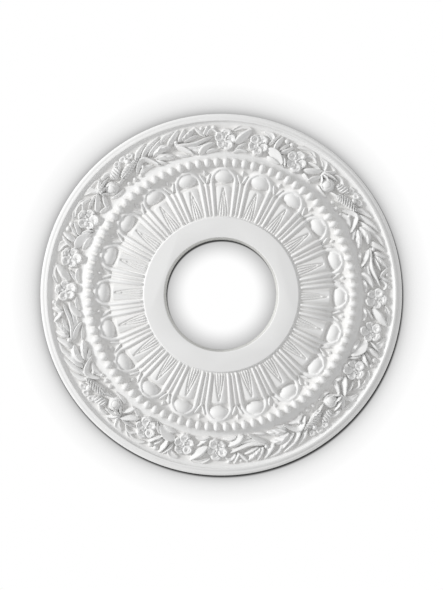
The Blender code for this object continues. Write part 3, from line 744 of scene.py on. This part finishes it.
floor_mesh = bpy.data.meshes.new("floor")
floor_mesh.from_pydata([(x, y, FLOOR_TOP) for x, y in
                        ((-FLOOR_HALF, -FLOOR_HALF), (FLOOR_HALF, -FLOOR_HALF),
                         (FLOOR_HALF, FLOOR_HALF), (-FLOOR_HALF, FLOOR_HALF))],
                       [], [(0, 1, 2, 3)])
floor = bpy.data.objects.new("floor", floor_mesh)
bpy.context.scene.collection.objects.link(floor)
paper = bpy.data.materials.new("white_sheet")
paper.use_nodes = True
paper_tree = paper.node_tree
sheet = paper_tree.nodes["Principled BSDF"]
sheet.inputs["Base Color"].default_value = (0, 0, 0, 1)
sheet.inputs["Specular IOR Level"].default_value = 0
sheet.inputs["Emission Color"].default_value = (1, 1, 1, 1)
floor_place = paper_tree.nodes.new("ShaderNodeTexCoord")


def distance_from(x, y):
    """A node for the distance on the floor from one place."""
    node = paper_tree.nodes.new("ShaderNodeVectorMath")
    node.operation = "DISTANCE"
    node.inputs[1].default_value = (x, y, 0)
    paper_tree.links.new(floor_place.outputs["Object"], node.inputs[0])
    return node.outputs["Value"]


def combined(operation, first, second):
    """A node that works out one value from two others."""
    node = paper_tree.nodes.new("ShaderNodeMath")
    node.operation = operation
    paper_tree.links.new(first, node.inputs[0])
    paper_tree.links.new(second, node.inputs[1])
    return node.outputs[0]


from_middle = distance_from(0, 0)
from_shadow = distance_from(SHADOW_SHIFT * math.sin(SHADOW_AZIMUTH),
                            SHADOW_SHIFT * math.cos(SHADOW_AZIMUTH))
nearness = paper_tree.nodes.new("ShaderNodeAmbientOcclusion")
shade_reach = ranged(paper_tree, from_middle, HOLE, HOLE + SHADE_CHANGE,
                     HOLE_SHADE_REACH, OUTER_SHADE_REACH)
paper_tree.links.new(shade_reach, nearness.inputs["Distance"])
shade_depth = ranged(paper_tree, from_middle, HOLE, HOLE + SHADE_CHANGE,
                     HOLE_SHADE_DEPTH, OUTER_SHADE_DEPTH)
# Painted soft shade: the sheet's emission is dimmed near the rose by ambient occlusion
painted_soft_shade = combined("POWER", nearness.outputs["AO"], shade_depth)
# Painted thin shadows: darker outside a disc shifted to the lower right at the rim, and inside it in
# the hole
painted_edge_shadow = ranged(paper_tree, from_shadow, SHADOW_DARK, SHADOW_GONE, SHADOW_LIGHT, 1)
painted_hole_shadow = ranged(paper_tree, from_shadow, HOLE_SHADOW_GONE, HOLE_SHADOW_DARK, 1, SHADOW_LIGHT)
in_hole = paper_tree.nodes.new("ShaderNodeMath")
in_hole.operation = "LESS_THAN"
in_hole.inputs[1].default_value = HOLE_SHADOW_LIMIT
paper_tree.links.new(from_middle, in_hole.inputs[0])
painted_shadows = paper_tree.nodes.new("ShaderNodeMix")
paper_tree.links.new(in_hole.outputs[0], painted_shadows.inputs["Factor"])
paper_tree.links.new(painted_edge_shadow, painted_shadows.inputs["A"])
paper_tree.links.new(painted_hole_shadow, painted_shadows.inputs["B"])
glow_with_painted_shade = combined("MULTIPLY", painted_soft_shade, painted_shadows.outputs["Result"])
paper_tree.links.new(glow_with_painted_shade, sheet.inputs["Emission Strength"])
floor_mesh.materials.append(paper)


# The camera: straight over the middle of the rose with a long lens, so far off that the
# rose shows its face alone.
LENS = 85
CAMERA_PLACE = (0.0003, -0.0004, 1.5725)
camera_data = bpy.data.cameras.new("camera")
camera_data.lens = LENS
camera = bpy.data.objects.new("camera", camera_data)
camera.location = CAMERA_PLACE
bpy.context.scene.collection.objects.link(camera)
bpy.context.scene.camera = camera


# The light: one broad even lamp low on the left, which brings out the relief, and a soft
# white room all round, which keeps the hollows light.
KEY_AZIMUTH = math.radians(283)
KEY_ELEVATION = math.radians(26)
KEY_STRENGTH = 2.18
KEY_BREADTH = math.radians(12)
ROOM_STRENGTH = 0.635
key_data = bpy.data.lights.new("key", "SUN")
key_data.energy = KEY_STRENGTH
key_data.angle = KEY_BREADTH
key = bpy.data.objects.new("key", key_data)
level = math.cos(KEY_ELEVATION)
towards_key = Vector((level * math.sin(KEY_AZIMUTH), level * math.cos(KEY_AZIMUTH),
                      math.sin(KEY_ELEVATION)))
key.rotation_euler = (-towards_key).to_track_quat("-Z", "Y").to_euler()
bpy.context.scene.collection.objects.link(key)
world = bpy.data.worlds.new("studio")
world.use_nodes = True
world.node_tree.nodes["Background"].inputs["Color"].default_value = (1, 1, 1, 1)
world.node_tree.nodes["Background"].inputs["Strength"].default_value = ROOM_STRENGTH
bpy.context.scene.world = world
bpy.context.scene.view_settings.view_transform = "Standard"
